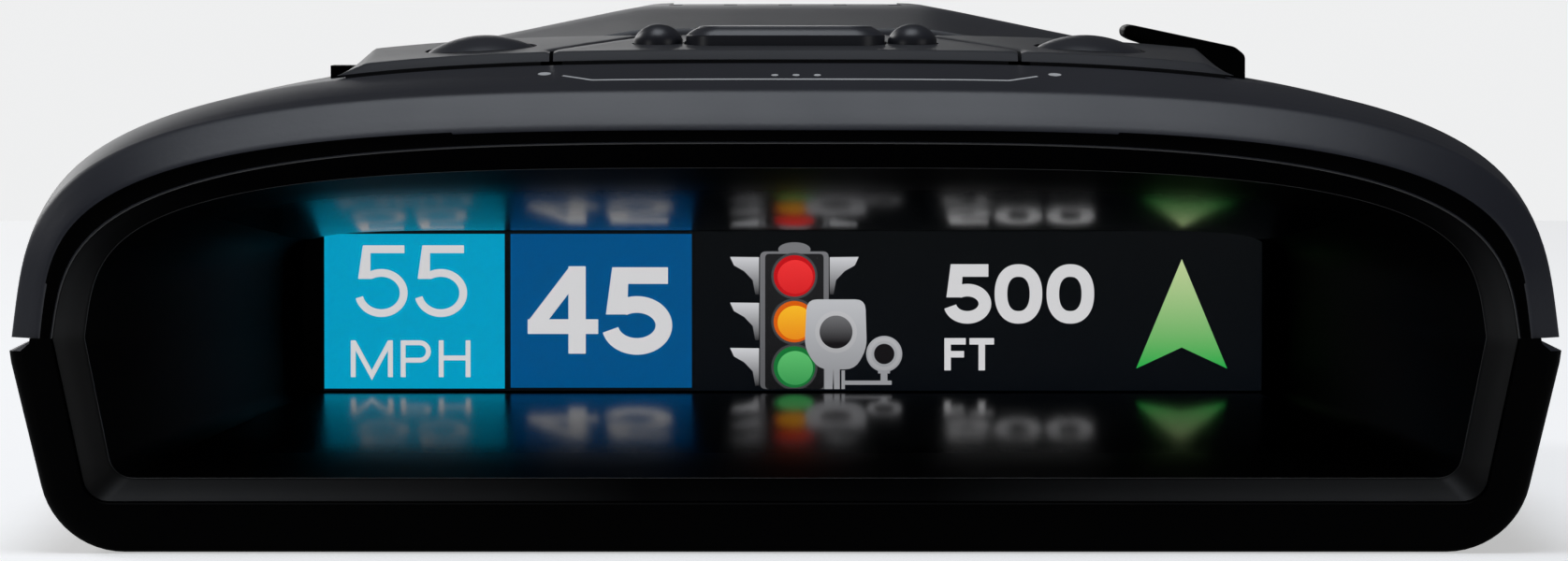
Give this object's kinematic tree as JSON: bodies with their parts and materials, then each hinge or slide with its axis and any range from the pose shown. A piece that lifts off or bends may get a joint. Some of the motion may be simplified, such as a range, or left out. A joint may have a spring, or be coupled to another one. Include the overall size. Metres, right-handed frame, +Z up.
{
  "type": "radar detector",
  "caption": "Windshield radar detector with an arched case, a deep hooded colour display and a top keypad.",
  "frame": {"origin": "middle of the case's footprint, on the surface it rests on", "axes": "+X to the right as the driver sees it, +Y from the display end to the windshield end, +Z up"},
  "size_m": [0.087, 0.137, 0.0305],
  "materials": {
    "upper_case": "satin blue-black moulded plastic",
    "lower_case": "deep black moulded plastic",
    "bezel": "dark grey satin",
    "hood": "polished black",
    "display_glass": "clear with a grey tint",
    "display": "lit colour display",
    "frame_plastic": "matt",
    "ribbon": "amber film",
    "keypad": "satin blue-black moulded plastic",
    "buttons": "satin blue-black moulded plastic",
    "circuit_board": "green solder mask",
    "switch_metal": "stamped",
    "black_trim": "glossy black",
    "steel": "plain",
    "infrared_lens": "dark infrared-passing plastic",
    "sensor": "matt",
    "shield_metal": "stamped",
    "patch_ceramic": "unglazed ceramic",
    "speaker_frame": "matt",
    "foam": "closed-cell foam",
    "socket_plastic": "matt",
    "screw_steel": "blackened"
  },
  "bodies": {
    "case": {"upper_shell": "upper_case", "lower_shell": "lower_case", "front_bezel": "bezel", "display_hood": "hood", "display_window": "display_glass", "display_panel": "display", "display_bracket": "frame_plastic", "display_ribbon": "ribbon", "keypad_deck": "keypad", "left_button_pod": "keypad", "right_button_pod": "keypad", "keypad_board": "circuit_board", "main_board": "circuit_board", "keypad_switches": "switch_metal", "guide_tab": "black_trim", "lever_pin": "steel", "lever_spring": "steel", "mount_plate": "steel", "usb_port": "steel", "nose_lens": "infrared_lens", "laser_sensor": "sensor", "shield_can": "shield_metal", "front_horn": "shield_metal", "rear_horn": "shield_metal", "gps_antenna": "patch_ceramic", "speaker": "speaker_frame", "speaker_gasket": "foam", "power_jack": "socket_plastic", "earphone_jack": "socket_plastic", "shell_screws": "screw_steel", "board_screws": "screw_steel"},
    "mute_key": {"mute_button": "buttons"},
    "volume_down_key": {"volume_down_button": "buttons"},
    "volume_up_key": {"volume_up_button": "buttons"},
    "brightness_key": {"brightness_button": "buttons"},
    "sensitivity_key": {"sensitivity_button": "buttons"},
    "mount_lever": {"release_lever": "black_trim"}
  },
  "joints": [
    {"name": "mute_press", "type": "slide", "parent": "case", "child": "mute_key", "axis": [0, 0, -1], "range_m": [0, 0.0006], "stiffness_N_per_m": 1500},
    {"name": "volume_down_press", "type": "slide", "parent": "case", "child": "volume_down_key", "axis": [0, 0, -1], "range_m": [0, 0.0006], "stiffness_N_per_m": 1500},
    {"name": "volume_up_press", "type": "slide", "parent": "case", "child": "volume_up_key", "axis": [0, 0, -1], "range_m": [0, 0.0006], "stiffness_N_per_m": 1500},
    {"name": "brightness_press", "type": "slide", "parent": "case", "child": "brightness_key", "axis": [0, 0, -1], "range_m": [0, 0.0006], "stiffness_N_per_m": 1500},
    {"name": "sensitivity_press", "type": "slide", "parent": "case", "child": "sensitivity_key", "axis": [0, 0, -1], "range_m": [0, 0.0006], "stiffness_N_per_m": 1500},
    {"name": "lever_pivot", "type": "hinge", "parent": "case", "child": "mount_lever", "pos_m": [0.0252, -0.0408, 0.027], "axis": [0, 1, 0], "range_deg": [-6, 0], "stiffness_Nm_per_rad": 0.1}
  ]
}
